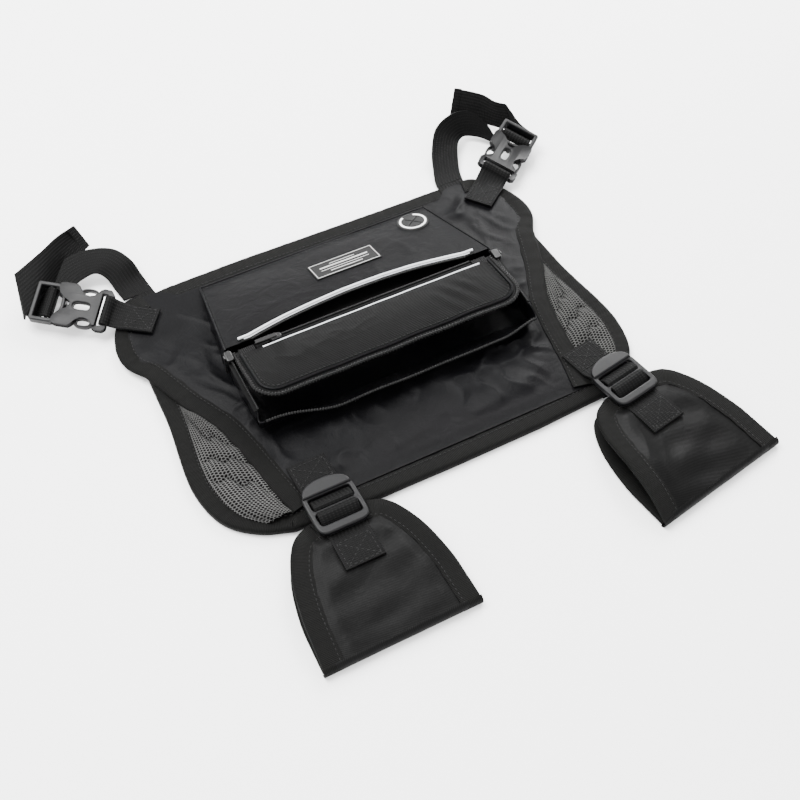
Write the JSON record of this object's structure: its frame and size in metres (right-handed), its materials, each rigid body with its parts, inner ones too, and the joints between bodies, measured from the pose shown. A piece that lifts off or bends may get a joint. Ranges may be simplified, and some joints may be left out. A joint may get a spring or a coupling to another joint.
{
  "type": "chest harness bag",
  "caption": "Flat harness bag worn on the chest: zipped pouch under a flap with its own zip pocket, mesh wings, waist webbing with side-release buckles, folded shoulder pads.",
  "frame": {"origin": "on the flat underside of the back panel, on its centre line, between the flap and the shoulder edge", "axes": "+Z out of the front of the bag, +Y towards the waist edge, +X along the waist edge"},
  "size_m": [0.4707, 0.4544, 0.0387],
  "materials": {
    "nylon": "woven nylon, dull",
    "lining": "thin woven polyester",
    "binding_tape": "ribbed nylon tape",
    "mesh": "open spacer mesh",
    "webbing": "ribbed webbing",
    "pad_nylon": "twill nylon with a slight sheen",
    "acetal": "moulded, satin",
    "zip_tape": "zip tape with nylon coil",
    "zip_metal": "black enamel",
    "piping": "reflective piping",
    "rubber": "moulded, dull",
    "white_print": "moulded, white"
  },
  "bodies": {
    "vest": {"under_strap_left": "webbing", "under_strap_right": "webbing", "back_panel": "nylon", "outer_binding": "binding_tape", "front_panel": "nylon", "front_binding_right": "binding_tape", "front_binding_left": "binding_tape", "mesh_wing_right": "mesh", "mesh_wing_left": "mesh", "pouch_top": "nylon", "pocket_lip_upper": "zip_tape", "pocket_piping_upper": "piping", "pocket_lining": "lining", "label_patch": "rubber", "cable_port": "rubber", "cable_port_ring": "white_print", "pouch_wall_left": "nylon", "main_zip_left": "zip_tape", "pouch_wall_right": "nylon", "main_zip_right": "zip_tape", "waist_tab_left": "webbing", "buckle_socket_left": "acetal", "waist_strap_left": "webbing", "waist_tab_right": "webbing", "buckle_socket_right": "acetal", "waist_strap_right": "webbing", "shoulder_stub_left": "webbing", "shoulder_stub_right": "webbing"},
    "flap": {"flap_zip": "zip_tape", "flap_panel": "nylon", "flap_lining": "lining", "pocket_lip_lower": "zip_tape", "pocket_piping_lower": "piping"},
    "near_wall": {"pouch_wall_near": "nylon", "main_zip_near": "zip_tape"},
    "pocket_slider": {"pocket_slider": "zip_metal"},
    "pocket_pull": {"pocket_pull": "zip_metal"},
    "main_slider_left": {"main_slider_left": "zip_metal"},
    "main_pull_left": {"main_pull_left": "zip_metal"},
    "plug_left": {"buckle_plug_left": "acetal", "waist_tail_left": "webbing"},
    "arm_far_left": {"buckle_arm_far_left": "acetal"},
    "arm_near_left": {"buckle_arm_near_left": "acetal"},
    "lock_left": {"shoulder_strap_left": "webbing", "ladder_lock_left": "acetal"},
    "pad_left": {"pad_upper_left": "pad_nylon", "pad_webbing_left": "webbing"},
    "leaf_left": {"pad_lower_left": "pad_nylon"},
    "main_slider_right": {"main_slider_right": "zip_metal"},
    "main_pull_right": {"main_pull_right": "zip_metal"},
    "plug_right": {"buckle_plug_right": "acetal", "waist_tail_right": "webbing"},
    "arm_far_right": {"buckle_arm_far_right": "acetal"},
    "arm_near_right": {"buckle_arm_near_right": "acetal"},
    "lock_right": {"shoulder_strap_right": "webbing", "ladder_lock_right": "acetal"},
    "pad_right": {"pad_upper_right": "pad_nylon", "pad_webbing_right": "webbing"},
    "leaf_right": {"pad_lower_right": "pad_nylon"}
  },
  "joints": [
    {"name": "flap_hinge", "type": "hinge", "parent": "vest", "child": "flap", "pos_m": [0, 0.076, 0.031], "axis": [-1, 0, 0], "range_deg": [-6, 76]},
    {"name": "near_wall_fold", "type": "hinge", "parent": "vest", "child": "near_wall", "pos_m": [0, 0.018, 0.0086], "axis": [-1, 0, 0], "range_deg": [0, 50]},
    {"name": "pocket_zip_run", "type": "slide", "parent": "flap", "child": "pocket_slider", "axis": [1, 0, 0], "range_m": [0, 0.15]},
    {"name": "pocket_pull_swing", "type": "hinge", "parent": "pocket_slider", "child": "pocket_pull", "pos_m": [-0.0755, 0.0725, 0.0369], "axis": [0, 0.9945, -0.1045], "range_deg": [0, 150]},
    {"name": "main_zip_run_left", "type": "slide", "parent": "vest", "child": "main_slider_left", "axis": [0, -0.998, -0.0634], "range_m": [0, 0.04]},
    {"name": "main_pull_swing_left", "type": "hinge", "parent": "main_slider_left", "child": "main_pull_left", "pos_m": [-0.11765, 0.07084, 0.03466], "axis": [0, 0.998, 0.0634], "range_deg": [0, 90]},
    {"name": "plug_release_left", "type": "slide", "parent": "vest", "child": "plug_left", "axis": [-0.7975, 0.601, 0.0523], "range_m": [0, 0.028], "deforming": ["waist_strap_left", "buckle_arm_far_left", "buckle_arm_near_left"]},
    {"name": "arm_flex_far_left", "type": "hinge", "parent": "plug_left", "child": "arm_far_left", "pos_m": [-0.19505, 0.20352, 0.01816], "axis": [0.1257, 0.2504, -0.9599], "range_deg": [0, 8], "stiffness_Nm_per_rad": 0.6},
    {"name": "arm_flex_near_left", "type": "hinge", "parent": "plug_left", "child": "arm_near_left", "pos_m": [-0.20956, 0.18485, 0.01138], "axis": [-0.1257, -0.2504, 0.9599], "range_deg": [0, 8], "stiffness_Nm_per_rad": 0.6},
    {"name": "shoulder_web_bend_left", "type": "hinge", "parent": "vest", "child": "lock_left", "pos_m": [-0.098, -0.046, 0.01035], "axis": [-1, 0, 0], "range_deg": [0, 90]},
    {"name": "lock_bar_turn_left", "type": "hinge", "parent": "lock_left", "child": "pad_left", "pos_m": [-0.098, -0.0895, 0.0194], "axis": [-1, 0, 0], "range_deg": [0, 60]},
    {"name": "pad_fold_left", "type": "hinge", "parent": "pad_left", "child": "leaf_left", "pos_m": [-0.098, -0.175, 0.0036], "axis": [-1, 0, 0], "range_deg": [0, 150]},
    {"name": "main_zip_run_right", "type": "slide", "parent": "vest", "child": "main_slider_right", "axis": [0, -0.998, -0.0634], "range_m": [0, 0.04]},
    {"name": "main_pull_swing_right", "type": "hinge", "parent": "main_slider_right", "child": "main_pull_right", "pos_m": [0.11765, 0.07084, 0.03466], "axis": [0, -0.998, -0.0634], "range_deg": [0, 90]},
    {"name": "plug_release_right", "type": "slide", "parent": "vest", "child": "plug_right", "axis": [0.7975, 0.601, 0.0523], "range_m": [0, 0.028], "deforming": ["waist_strap_right", "buckle_arm_far_right", "buckle_arm_near_right"]},
    {"name": "arm_flex_far_right", "type": "hinge", "parent": "plug_right", "child": "arm_far_right", "pos_m": [0.19505, 0.20352, 0.01816], "axis": [0.1257, -0.2504, 0.9599], "range_deg": [0, 8], "stiffness_Nm_per_rad": 0.6},
    {"name": "arm_flex_near_right", "type": "hinge", "parent": "plug_right", "child": "arm_near_right", "pos_m": [0.20956, 0.18485, 0.01138], "axis": [-0.1257, 0.2504, -0.9599], "range_deg": [0, 8], "stiffness_Nm_per_rad": 0.6},
    {"name": "shoulder_web_bend_right", "type": "hinge", "parent": "vest", "child": "lock_right", "pos_m": [0.135, -0.046, 0.01035], "axis": [-0.9848, -0.1736, 0], "range_deg": [0, 90]},
    {"name": "lock_bar_turn_right", "type": "hinge", "parent": "lock_right", "child": "pad_right", "pos_m": [0.14255, -0.08884, 0.0194], "axis": [-0.9848, -0.1736, 0], "range_deg": [0, 60]},
    {"name": "pad_fold_right", "type": "hinge", "parent": "pad_right", "child": "leaf_right", "pos_m": [0.1574, -0.17304, 0.0036], "axis": [-0.9848, -0.1736, 0], "range_deg": [0, 150]}
  ]
}
